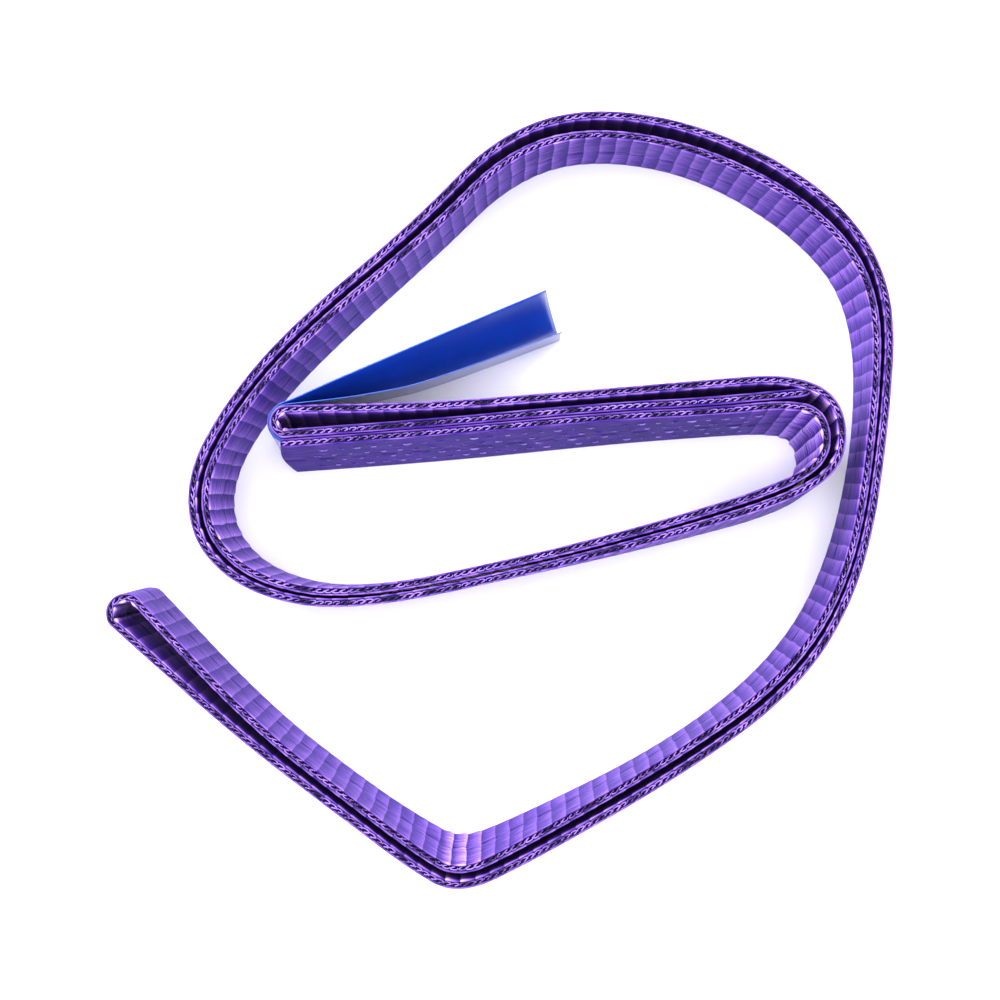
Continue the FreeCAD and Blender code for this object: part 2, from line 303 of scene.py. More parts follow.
def offset_corners(corners: np.ndarray, distances: np.ndarray) -> np.ndarray:
    """Move a route's corners to its left, each along the bisector of its two runs.

    Args:
        corners: the corners, one row each.
        distances: how far each corner's runs move.

    Returns:
        The moved corners.
    """
    runs = unit(np.diff(corners, axis=0))
    into, out = np.vstack((runs[:1], runs)), np.vstack((runs, runs[-1:]))
    bisector = left_of(into) + left_of(out)
    share = 2 * distances / np.sum(bisector**2, axis=1)
    return corners + bisector * share[:, None]


def half_turn(start: np.ndarray, end: np.ndarray, towards: np.ndarray, count: int = 4) -> np.ndarray:
    """Corners of a half turn of web.

    Args:
        start: where the turn starts.
        end: where it ends.
        towards: the direction that it bulges in.
        count: how many corners it has.

    Returns:
        The corners, which lie just outside the turn.
    """
    step = math.pi / count
    angles = step * (np.arange(count) + 0.5)
    reach = np.linalg.norm(end - start) / 2 / math.cos(step / 2)
    across = unit(end - start)
    swing = -np.cos(angles)[:, None] * across + np.sin(angles)[:, None] * towards
    return (start + end) / 2 + reach * swing


@dataclass
class Strip:
    """The middle of a strip that stands on its edge, along its lower and its upper edge.

    The line is smooth: each corner gives one parabola, from the middle of the run before it to the
    middle of the run after it.
    """

    low_corners: np.ndarray
    high_corners: np.ndarray
    height: float
    samples: int = 48
    breaks: list[float] = field(default_factory=list)

    def __post_init__(self) -> None:
        """Work out the dense lines that everything else reads."""
        self.low, self.high = self.parabolas(self.low_corners), self.parabolas(self.high_corners)
        middle = (self.low + self.high) / 2
        steps = np.linalg.norm(np.diff(middle, axis=0), axis=1)
        self.along = np.concatenate(([0.0], np.cumsum(steps)))
        self.length = float(self.along[-1])
        self.breaks = [float(x) for x in self.along[self.samples :: self.samples]]
        self.tangent = unit(np.gradient(middle, self.along, axis=0))
        heading = np.unwrap(np.arctan2(self.tangent[:, 1], self.tangent[:, 0]))
        self.heading = heading

    def parabolas(self, corners: np.ndarray) -> np.ndarray:
        """Sample the smooth line of one edge.

        Args:
            corners: that edge's corners.

        Returns:
            Points along the line.
        """
        middles = (corners[:-1] + corners[1:]) / 2
        starts = np.vstack((corners[:1], middles[1:-1]))
        ends = np.vstack((middles[1:-1], corners[-1:]))
        u = (np.arange(self.samples) / self.samples)[None, :, None]
        points = (
            starts[:, None] * (1 - u) ** 2
            + corners[1:-1, None] * 2 * u * (1 - u)
            + ends[:, None] * u**2
        )
        return np.vstack((points.reshape(-1, 2), corners[-1:]))

    def after(self, corner: int) -> float:
        """How far along the strip the middle of the run after a corner is."""
        return self.breaks[corner - 1]

    def read(self, line: np.ndarray, s: np.ndarray) -> np.ndarray:
        """Read a line's two columns at these distances along the strip."""
        return np.stack([np.interp(s, self.along, line[:, axis]) for axis in (0, 1)], axis=-1)

    def bend(self, s: np.ndarray, window: float = 3.0) -> np.ndarray:
        """How sharply the strip turns to the left, in radians per millimetre.

        Args:
            s: distances along the strip.
            window: the length that the turn is measured over.

        Returns:
            The bend at each distance.
        """
        ahead = np.interp(s + window / 2, self.along, self.heading)
        behind = np.interp(s - window / 2, self.along, self.heading)
        return (ahead - behind) / window

    def place(self, s: np.ndarray, across: np.ndarray, up: np.ndarray) -> np.ndarray:
        """Find points of the strip.

        Args:
            s: distances along the strip.
            across: distances to the left of its middle.
            up: heights over its lower edge.

        Returns:
            The points, in millimetres in the row frame.
        """
        low, high = self.read(self.low, s), self.read(self.high, s)
        side = left_of(unit(self.read(self.tangent, s)))
        share = (up / self.height)[..., None]
        plan = low + (high - low) * share + side * across[..., None]
        return np.concatenate((plan, up[..., None]), axis=-1)


@dataclass
class WebRoute:
    """The way that the one length of webbing takes, from its inner cut end to its outer one."""

    width: float
    web: float = 2.4
    joint_clearance: float = 0.4
    under_ply_setback: float = -0.3
    over_ply_reach: float = 26.0
    label_bight_setback: float = 1.5
    bight_corners: int = 4

    def __post_init__(self) -> None:
        """Work out the corners of both edges, and the strip through them."""
        self.names = [station.name for station in STATIONS]
        high = self.edge(self.ply_corners(Ply.INNER, 0.0), self.ply_corners(Ply.OUTER, 0.0))
        low = self.edge(self.ply_corners(Ply.INNER, 1.0), self.ply_corners(Ply.OUTER, 1.0))
        self.strip = Strip(low, high, self.width)

    def ply_corners(self, ply: Ply, lean: float) -> np.ndarray:
        """One ply's corners.

        Args:
            ply: which ply.
            lean: 0 for its upper edge, and 1 for its lower one.

        Returns:
            The corners, one for each station.
        """
        table = np.array([station[1:] for station in STATIONS])
        distances = ply.value * (table[:, 2] + self.web) / 2
        return offset_corners(table[:, :2] + SHIFT, distances) - table[:, 3:] * lean

    def edge(self, inner: np.ndarray, outer: np.ndarray) -> np.ndarray:
        """Join the plies' corners into the whole length of web, along one edge.

        Args:
            inner: the inner ply's corners.
            outer: the outer ply's corners.

        Returns:
            The corners from the inner cut end to the outer cut end.
        """
        head = self.names.index("joint_head")
        over = offset_corners(inner[: head + 2], np.full(head + 2, self.web + self.joint_clearance))
        ahead = unit(inner[1] - inner[0])
        inner, outer = inner.copy(), outer.copy()
        inner[0] += ahead * self.under_ply_setback
        outer[0] += unit(outer[1] - outer[0]) * self.label_bight_setback
        over[0] += ahead * self.label_bight_setback
        over[-1] = over[head] + unit(over[head + 1] - over[head]) * self.over_ply_reach
        out = unit(unit(inner[-1] - inner[-2]) + unit(outer[-1] - outer[-2]))
        free = half_turn(inner[-1], outer[-1], out, self.bight_corners)
        label = half_turn(outer[0], over[0], -ahead, self.bight_corners)
        return np.vstack((inner, free, outer[::-1], label, over))

    def after(self, station: str, ply: Ply) -> float:
        """How far along the web the middle of the run between a station and the next one is.

        Args:
            station: the station's name.
            ply: which ply's run.

        Returns:
            The distance from the inner cut end.
        """
        number, count = self.names.index(station), len(self.names)
        if ply is Ply.INNER:
            return self.strip.after(number)
        return self.strip.after(count + self.bight_corners + count - 2 - number)

    @property
    def label_bight(self) -> tuple[float, float]:
        """Where the fold at the sewn joint starts and ends, along the web."""
        first = 2 * len(self.names) + self.bight_corners - 1
        return self.strip.after(first), self.strip.after(first + self.bight_corners)


# ---------------------------------------------------------------- finishes


@dataclass(frozen=True)
class WovenWeb:
    """Violet polyester webbing, needle-loom woven with satin-faced ribs.

    A painted lilac highlight lies at the head of each rib and fades to a deeper violet, painted
    shade, where the yarns dive under the next rib; fine lengthwise filaments streak it, and the
    selvedge's groove, the slit and the slot between plies are painted near black as shade. Real
    filaments are about 0.03 mm, so they are drawn ten times as coarse to show.
    """

    # The four stops from dark to the palest are one violet under painted shade and painted light: the ribs'
    # painted light and shade pick between them.
    painted_sheen: str = "#C8A8F4"
    light: str = "#9A6EDA"
    body: str = "#402090"
    dark: str = "#170756"
    # Near black painted shade for the groove, the slit and the slot between plies.
    painted_shade: str = "#060120"
    filament: float = 0.32
    filament_run: float = 7.0
    bump_depth: float = 0.08
    slot_reach: float = 8.0
    slit_offset: float = 1.2

    def rib_shades(
        self, tree: bpy.types.NodeTree, phase: bpy.types.NodeSocket, kept: bpy.types.Node
    ) -> tuple[bpy.types.NodeSocket, bpy.types.NodeSocket]:
        """Paint light and shade along each rib: a painted highlight at its head, fading to painted shade
        towards its tail.

        Args:
            tree: the material's node tree.
            phase: the count of ribs along the web.
            kept: the node that gives the crowding, the sewn share and the relief.

        Returns:
            The rib's painted light and shade, and what is left of it where a bend stretches the web or the
            sewing presses it flat.
        """
        share = add_node(tree, "ShaderNodeMath", {0: phase}, {"operation": "FRACT"}).outputs[0]
        ramp = add_node(tree, "ShaderNodeValToRGB", {0: share})
        # Painted light along each rib: a painted highlight just past its head, fading to painted shade at its
        # tail.
        stops = ((0.0, 0.12), (0.07, 0.95), (0.3, 0.7), (0.72, 0.42), (0.96, 0.22), (1.0, 0.12))
        band = ramp.color_ramp
        for number, (position, grey) in enumerate(stops):
            stop = band.elements[number] if number < 2 else band.elements.new(position)
            stop.position, stop.color = position, (grey, grey, grey, 1.0)
        # Ribs crowded inside a bend get stronger painted highlight and shade; stretched ribs get less.
        contrast = add_node(
            tree, "ShaderNodeMapRange", {"Value": kept.outputs["X"], 1: -0.3, 2: 0.6, 3: 0.25, 4: 1.1}
        ).outputs[0]
        swell = add_node(
            tree, "ShaderNodeMath", {0: ramp.outputs[0], 1: 0.52}, {"operation": "SUBTRACT"}
        ).outputs[0]
        swell = add_node(
            tree, "ShaderNodeMath", {0: swell, 1: contrast, 2: 0.52}, {"operation": "MULTIPLY_ADD"}
        ).outputs[0]
        pressed = add_node(
            tree, "ShaderNodeMix", {0: kept.outputs["Y"], 2: swell, 3: 0.36}, {"data_type": "FLOAT"}
        ).outputs[0]
        return ramp.outputs[0], pressed

    def yarn_tone(
        self,
        tree: bpy.types.NodeTree,
        place: bpy.types.NodeSocket,
        kept: bpy.types.Node,
        shade: bpy.types.NodeSocket,
    ) -> tuple[bpy.types.NodeSocket, bpy.types.NodeSocket]:
        """Streak the shade with filaments that run along the web, and with broad uneven patches.

        Args:
            tree: the material's node tree.
            place: the distances along, up and across the web.
            kept: the node that gives the crowding, the sewn share and the relief.
            shade: the ribs' painted light and shade.

        Returns:
            The filaments' grain, and the streaked shade.
        """
        fine = add_node(
            tree,
            "ShaderNodeVectorMath",
            {0: place, 1: (1 / self.filament_run, 1 / self.filament, 1 / self.filament)},
            {"operation": "MULTIPLY"},
        )
        grain = add_node(
            tree, "ShaderNodeTexNoise", {"Vector": fine.outputs[0], "Scale": 1.0, "Detail": 3.0}
        ).outputs[0]
        broad = add_node(
            tree, "ShaderNodeTexNoise", {"Vector": place, "Scale": 0.11, "Detail": 2.0}
        ).outputs[0]
        strong = add_node(
            tree, "ShaderNodeMapRange", {"Value": kept.outputs["X"], 1: 0.1, 2: 0.8, 3: 1.3, 4: 2.6}
        ).outputs[0]
        streak = add_node(tree, "ShaderNodeMath", {0: grain, 1: 0.5}, {"operation": "SUBTRACT"}).outputs[0]
        tone = add_node(
            tree, "ShaderNodeMath", {0: streak, 1: strong, 2: shade}, {"operation": "MULTIPLY_ADD"}
        ).outputs[0]
        tone = add_node(
            tree, "ShaderNodeMath", {0: broad, 1: 0.4, 2: tone}, {"operation": "MULTIPLY_ADD"}
        ).outputs[0]
        tone = add_node(tree, "ShaderNodeMath", {0: tone, 1: 0.2}, {"operation": "SUBTRACT"}).outputs[0]
        return grain, tone

    def dye_and_painted_highlights(
        self,
        tree: bpy.types.NodeTree,
        up: bpy.types.NodeSocket,
        crowd: bpy.types.NodeSocket,
        rib: bpy.types.NodeSocket,
        tone: bpy.types.NodeSocket,
        width: float,
    ) -> bpy.types.NodeSocket:
        """Turn the tone to violet, with painted highlights along the rolled edges and where a bend crowds the
        ribs.

        Args:
            tree: the material's node tree.
            up: the height over the web's lower edge.
            crowd: how much a bend crowds the ribs.
            rib: the rib's painted light and shade.
            tone: the streaked shade.
            width: the web's width.

        Returns:
            The colour.
        """
        edge = add_node(tree, "ShaderNodeMath", {0: up, 1: width / 2}, {"operation": "SUBTRACT"}).outputs[0]
        edge = add_node(tree, "ShaderNodeMath", {0: edge}, {"operation": "ABSOLUTE"}).outputs[0]
        # Painted highlight along the rolled edges.
        rolled = add_node(
            tree,
            "ShaderNodeMapRange",
            {"Value": edge, 1: width / 2 - 0.7, 2: width / 2 - 0.2, 3: 0.0, 4: 0.2},
        ).outputs[0]
        tone = add_node(tree, "ShaderNodeMath", {0: tone, 1: rolled}, {"operation": "ADD"}).outputs[0]
        # Painted highlight on the ribs crowded inside a bend.
        crowded = add_node(
            tree, "ShaderNodeMapRange", {"Value": crowd, 1: 0.15, 2: 0.8, 3: 0.0, 4: 0.5}
        ).outputs[0]
        crest = add_node(
            tree, "ShaderNodeMath", {0: crowded, 1: rib, 2: tone}, {"operation": "MULTIPLY_ADD"}
        ).outputs[0]
        crest = add_node(tree, "ShaderNodeMath", {0: crest, 1: 0.74}, {"operation": "MULTIPLY"}).outputs[0]
        # From painted shade through the violet body to the lit tone and the painted sheen at the top.
        colour = add_node(tree, "ShaderNodeValToRGB", {0: crest})
        shades = ((0.0, self.dark), (0.33, self.body), (0.74, self.light), (1.0, self.painted_sheen))
        band = colour.color_ramp
        for number, (position, shade) in enumerate(shades):
            stop = band.elements[number] if number < 2 else band.elements.new(position)
            stop.position, stop.color = position, linear(shade)
        return colour.outputs[0]

    def slit(
        self,
        tree: bpy.types.NodeTree,
        up: bpy.types.NodeSocket,
        phase: bpy.types.NodeSocket,
        kept: bpy.types.Node,
        width: float,
    ) -> bpy.types.NodeSocket:
        """Mask the slit at mid-width, where the two halves of every second rib part; the mask is painted near
        black as shade.

        Args:
            tree: the material's node tree.
            up: the height over the web's lower edge.
            phase: the count of ribs along the web.
            kept: the node that gives the crowding, the sewn share and the relief.
            width: the web's width.

        Returns:
            The mask, 1 in the slit.
        """
        second = add_node(
            tree, "ShaderNodeMath", {0: phase, 1: 2.0}, {"operation": "FLOORED_MODULO"}
        ).outputs[0]
        dash = add_node(
            tree, "ShaderNodeMapRange", {"Value": second, 1: 0.95, 2: 1.0, 3: 1.0, 4: 0.0}
        ).outputs[0]
        step = add_node(tree, "ShaderNodeMath", {0: second, 1: 1.0}, {"operation": "GREATER_THAN"}).outputs[0]
        level = add_node(
            tree,
            "ShaderNodeMath",
            {0: step, 1: 2 * self.slit_offset, 2: width / 2 - self.slit_offset},
            {"operation": "MULTIPLY_ADD"},
        ).outputs[0]
        away = add_node(tree, "ShaderNodeMath", {0: up, 1: level}, {"operation": "SUBTRACT"}).outputs[0]
        away = add_node(tree, "ShaderNodeMath", {0: away}, {"operation": "ABSOLUTE"}).outputs[0]
        slit = add_node(
            tree, "ShaderNodeMapRange", {"Value": away, 1: 0.15, 2: 0.42, 3: 1.0, 4: 0.0}
        ).outputs[0]
        shown = add_node(
            tree, "ShaderNodeMath", {0: kept.outputs["X"], 1: 1.6}, {"operation": "MULTIPLY"}
        ).outputs[0]
        dash = add_node(tree, "ShaderNodeMath", {0: dash, 1: shown}, {"operation": "MAXIMUM"}).outputs[0]
        dash = add_node(
            tree,
            "ShaderNodeMath",
            {0: dash, 1: kept.outputs["Y"]},
            {"operation": "MAXIMUM", "use_clamp": True},
        ).outputs[0]
        return add_node(tree, "ShaderNodeMath", {0: slit, 1: dash}, {"operation": "MULTIPLY"}).outputs[0]

    def deep_shade(
        self, tree: bpy.types.NodeTree, across: bpy.types.NodeSocket, slit: bpy.types.NodeSocket, web: float
    ) -> bpy.types.NodeSocket:
        """Mask the places that hardly any light comes back out of.

        They are the slit, the groove between the rolled edges, and the slot between two plies.

        Args:
            tree: the material's node tree.
            across: the distance from the web's middle.
            slit: the mask of the slit.
            web: the web's thickness.

        Returns:
            The mask, 1 in deep shade.
        """
        side = add_node(tree, "ShaderNodeMath", {0: across}, {"operation": "ABSOLUTE"}).outputs[0]
        groove = add_node(
            tree, "ShaderNodeMapRange", {"Value": side, 1: web * 0.24, 2: web * 0.42, 3: 1.0, 4: 0.0}
        ).outputs[0]
        open_sky = add_node(
            tree, "ShaderNodeAmbientOcclusion", {"Distance": self.slot_reach * MM}, {"samples": 8}
        ).outputs["AO"]
        slot = add_node(
            tree, "ShaderNodeMapRange", {"Value": open_sky, 1: 0.12, 2: 0.5, 3: 1.0, 4: 0.0}
        ).outputs[0]
        painted_shade = add_node(tree, "ShaderNodeMath", {0: groove, 1: slit}, {"operation": "MAXIMUM"}).outputs[0]
        return add_node(tree, "ShaderNodeMath", {0: painted_shade, 1: slot}, {"operation": "MAXIMUM"}).outputs[0]

    def make(self, width: float, web: float) -> bpy.types.Material:
        """Build the material.

        Args:
            width: the web's width.
            web: the web's thickness.

        Returns:
            The material, which reads the attributes web_place, web_state and rib_phase.
        """
        material, tree, shader = new_material("woven_polyester_webbing")
        place, state, count = [
            add_node(tree, "ShaderNodeAttribute", settings={"attribute_name": name})
            for name in ("web_place", "web_state", "rib_phase")
        ]
        along, phase = place.outputs["Vector"], count.outputs["Fac"]
        at = add_node(tree, "ShaderNodeSeparateXYZ", {0: along})
        kept = add_node(tree, "ShaderNodeSeparateXYZ", {0: state.outputs["Vector"]})
        rib, shade = self.rib_shades(tree, phase, kept)
        grain, tone = self.yarn_tone(tree, along, kept, shade)
        colour = self.dye_and_painted_highlights(tree, at.outputs["Y"], kept.outputs["X"], rib, tone, width)
        slit = self.slit(tree, at.outputs["Y"], phase, kept, width)
        painted_shade = self.deep_shade(tree, at.outputs["Z"], slit, web)
        # Painted shade: the masked places are painted near black.
        mixed = add_node(
            tree, "ShaderNodeMix", {0: painted_shade, 6: colour, 7: linear(self.painted_shade)}, {"data_type": "RGBA"}
        )
        bump = add_node(
            tree, "ShaderNodeBump", {"Strength": 0.8, "Distance": self.bump_depth * MM, "Height": grain}
        )
        rough = add_node(tree, "ShaderNodeMapRange", {"Value": grain, 3: 0.42, 4: 0.6}).outputs[0]
        tree.links.new(mixed.outputs[2], shader.inputs["Base Color"])
        tree.links.new(bump.outputs[0], shader.inputs["Normal"])
        tree.links.new(rough, shader.inputs["Roughness"])
        shader.inputs["Specular IOR Level"].default_value = 0.05
        shader.inputs["Sheen Weight"].default_value = 0.03
        shader.inputs["Sheen Roughness"].default_value = 0.4
        shader.inputs["Sheen Tint"].default_value = linear("#A080FF")
        return material


@dataclass(frozen=True)
class SewingThread:
    """Bonded polyester thread, twisted, with small lilac glints painted on it as highlights, in a tone that
    also differs at random.
    """

    name: str
    light: str
    dark: str
    roughness: float = 0.38
    ply: float = 0.45

    def make(self) -> bpy.types.Material:
        """Build the material, on Object coordinates."""
        material, tree, shader = new_material(self.name)
        place = add_node(tree, "ShaderNodeTexCoord").outputs["Object"]
        grain = add_node(
            tree,
            "ShaderNodeTexNoise",
            {"Vector": place, "Scale": 1 / (self.ply * MM), "Detail": 2.0},
        ).outputs[0]
        patch = add_node(
            tree, "ShaderNodeTexNoise", {"Vector": place, "Scale": 1 / (6 * MM), "Detail": 1.0}
        ).outputs[0]
        tone = add_node(
            tree, "ShaderNodeMath", {0: grain, 1: 0.5, 2: patch}, {"operation": "MULTIPLY_ADD"}
        ).outputs[0]
        # Painted glints mixed with random tone: where the noise runs high the thread takes its light colour.
        share = add_node(tree, "ShaderNodeMapRange", {"Value": tone, 1: 0.62, 2: 0.88}).outputs[0]
        colour = add_node(
            tree,
            "ShaderNodeMix",
            {0: share, 6: linear(self.dark), 7: linear(self.light)},
            {"data_type": "RGBA"},
        )
        bump = add_node(
            tree, "ShaderNodeBump", {"Strength": 0.4, "Distance": 0.05 * MM, "Height": grain}
        )
        tree.links.new(colour.outputs[2], shader.inputs["Base Color"])
        tree.links.new(bump.outputs[0], shader.inputs["Normal"])
        shader.inputs["Roughness"].default_value = self.roughness
        shader.inputs["Specular IOR Level"].default_value = 0.25
        return material


@dataclass(frozen=True)
class LabelFilm:
    """Blue coated polyester film: smooth and glossy, so it mirrors the floor at a low angle.

    Its cut edges show the paler core of the film.
    """

    colour: str = "#1450CC"
    deep: str = "#0E3CA6"
    core: str = "#1E4CB4"

    def make(self, half: float) -> bpy.types.Material:
        """Build the material.

        Args:
            half: half of the film's thickness.

        Returns:
            The material, which reads the attribute label_place.
        """
        material, tree, shader = new_material("coated_polyester_label_film")
        place = add_node(tree, "ShaderNodeAttribute", settings={"attribute_name": "label_place"})
        at = add_node(tree, "ShaderNodeSeparateXYZ", {0: place.outputs["Vector"]})
        fine = add_node(
            tree, "ShaderNodeTexNoise", {"Vector": place.outputs["Vector"], "Scale": 0.09, "Detail": 3.0}
        ).outputs[0]
        colour = add_node(
            tree,
            "ShaderNodeMix",
            {0: fine, 6: linear(self.colour), 7: linear(self.deep)},
            {"data_type": "RGBA"},
        )
        side = add_node(tree, "ShaderNodeMath", {0: at.outputs["Z"]}, {"operation": "ABSOLUTE"}).outputs[0]
        edge = add_node(
            tree, "ShaderNodeMapRange", {"Value": side, 1: half * 0.8, 2: half * 0.95, 3: 1.0, 4: 0.0}
        ).outputs[0]
        mixed = add_node(
            tree,
            "ShaderNodeMix",
            {0: edge, 6: colour.outputs[2], 7: linear(self.core)},
            {"data_type": "RGBA"},
        )
        grain = add_node(
            tree, "ShaderNodeTexNoise", {"Vector": place.outputs["Vector"], "Scale": 2.2, "Detail": 2.0}
        ).outputs[0]
        bump = add_node(
            tree, "ShaderNodeBump", {"Strength": 0.15, "Distance": 0.02 * MM, "Height": grain}
        )
        tree.links.new(mixed.outputs[2], shader.inputs["Base Color"])
        tree.links.new(bump.outputs[0], shader.inputs["Normal"])
        shader.inputs["Roughness"].default_value = 0.3
        shader.inputs["Coat Weight"].default_value = 0.5
        shader.inputs["Coat Roughness"].default_value = 0.12
        return material


@dataclass(frozen=True)
class PaleBoard:
    """A matt white board."""

    colour: str = "#F7F7F8"

    def make(self) -> bpy.types.Material:
        """Build the material."""
        material, _, shader = new_material("white_backing_board")
        shader.inputs["Base Color"].default_value = linear(self.colour)
        shader.inputs["Roughness"].default_value = 0.9
        return material


# ---------------------------------------------------------------- swept meshes


@dataclass
class Section:
    """The outline of a strip cut across: points to the left of its middle and over its lower edge.

    The points run up the left face, across the top and down the right face. Relief says how much
    of the weave's relief each point takes.
    """

    across: np.ndarray
    up: np.ndarray
    relief: np.ndarray


def sweep(
    strip: Strip,
    section: Section,
    s: np.ndarray,
    thin: np.ndarray | None = None,
    shift: np.ndarray | None = None,
) -> tuple[np.ndarray, list[tuple[int, ...]]]:
    """Sweep a section along a strip into one closed shape.

    Args:
        strip: the strip.
        section: its outline.
        s: the distances along it, one for each ring of points.
        thin: how thick it is at each ring, as a share.
        shift: how far each point moves along the strip, rings by points.

    Returns:
        The points, in millimetres, and the faces.
    """
    rings, count = len(s), len(section.up)
    thin = np.ones(rings) if thin is None else thin
    across = section.across[None, :] * thin[:, None]
    up = np.broadcast_to(section.up, (rings, count))
    along = np.broadcast_to(s[:, None], (rings, count))
    points = strip.place(along, across, up)
    if shift is not None:
        ahead = unit(strip.read(strip.tangent, s))
        points[..., :2] += ahead[:, None] * shift[..., None]
    grid = np.arange(rings * count).reshape(rings, count)
    next_up = np.roll(grid, -1, axis=1)
    quads = np.stack((grid[:-1], next_up[:-1], next_up[1:], grid[1:]), axis=-1).reshape(-1, 4)
    faces = [tuple(q) for q in quads.tolist()]
    faces.append(tuple(reversed(grid[0].tolist())))
    faces.append(tuple(grid[-1].tolist()))
    return points.reshape(-1, 3), faces


def swept_mesh(name: str, parts: list[tuple[np.ndarray, list[tuple[int, ...]]]]) -> bpy.types.Mesh:
    """Make one mesh of several swept shapes.

    Args:
        name: the mesh's name.
        parts: each shape's points, in millimetres, and faces.

    Returns:
        The mesh, in metres.
    """
    points, faces, start = [], [], 0
    for own_points, own_faces in parts:
        points.append(own_points)
        faces += [tuple(corner + start for corner in face) for face in own_faces]
        start += len(own_points)
    mesh = bpy.data.meshes.new(name)
    mesh.from_pydata((np.vstack(points) * MM).tolist(), [], faces)
    mesh.shade_smooth()
    return mesh


def line_object(name: str, lines: list[np.ndarray], ups: list[np.ndarray]) -> bpy.types.Object:
    """Make an object of open lines for a tree to put pieces on.

    Args:
        name: the object's name.
        lines: each line's points, in millimetres.
        ups: which way is up for a piece at each point.

    Returns:
        The object, whose points have the attribute piece_up.
    """
    edges, start = [], 0
    for line in lines:
        edges += [(start + i, start + i + 1) for i in range(len(line) - 1)]
        start += len(line)
    mesh = bpy.data.meshes.new(name)
    mesh.from_pydata((np.vstack(lines) * MM).tolist(), edges, [])
    set_vectors(mesh, "piece_up", np.vstack(ups))
    return add_object(name, mesh)


def tube_mesh(name: str, line: np.ndarray, radius: float, sides: int, closed: bool) -> bpy.types.Mesh:
    """Make a small tube of yarn along a few points.

    Args:
        name: the mesh's name.
        line: the points of its middle, in millimetres.
        radius: its radius.
        sides: how many sides it has.
        closed: whether it is a ring.

    Returns:
        The mesh, in metres.
    """
    if closed:
        ahead = np.roll(line, -1, axis=0) - np.roll(line, 1, axis=0)
    else:
        ahead = np.gradient(line, axis=0)
    ahead = unit(ahead)
    out = unit(np.cross(ahead, (0.0, 0.0, 1.0)))
    over = np.cross(out, ahead)
    angles = np.arange(sides) * 2 * math.pi / sides
    spin = np.cos(angles)[None, :, None] * out[:, None] + np.sin(angles)[None, :, None] * over[:, None]
    points = (line[:, None] + radius * spin).reshape(-1, 3)
    grid = np.arange(len(points)).reshape(len(line), sides)
    after = np.roll(grid, -1, axis=0) if closed else grid[1:]
    here = grid if closed else grid[:-1]
    quads = np.stack((here, np.roll(here, -1, 1), np.roll(after, -1, 1), after), -1).reshape(-1, 4)
    faces = [tuple(q) for q in quads.tolist()]
    if not closed:
        faces += [tuple(grid[0].tolist()), tuple(reversed(grid[-1].tolist()))]
    mesh = bpy.data.meshes.new(name)
    mesh.from_pydata((points * MM).tolist(), [], faces)
    mesh.validate()
    return mesh


# ---------------------------------------------------------------- node trees


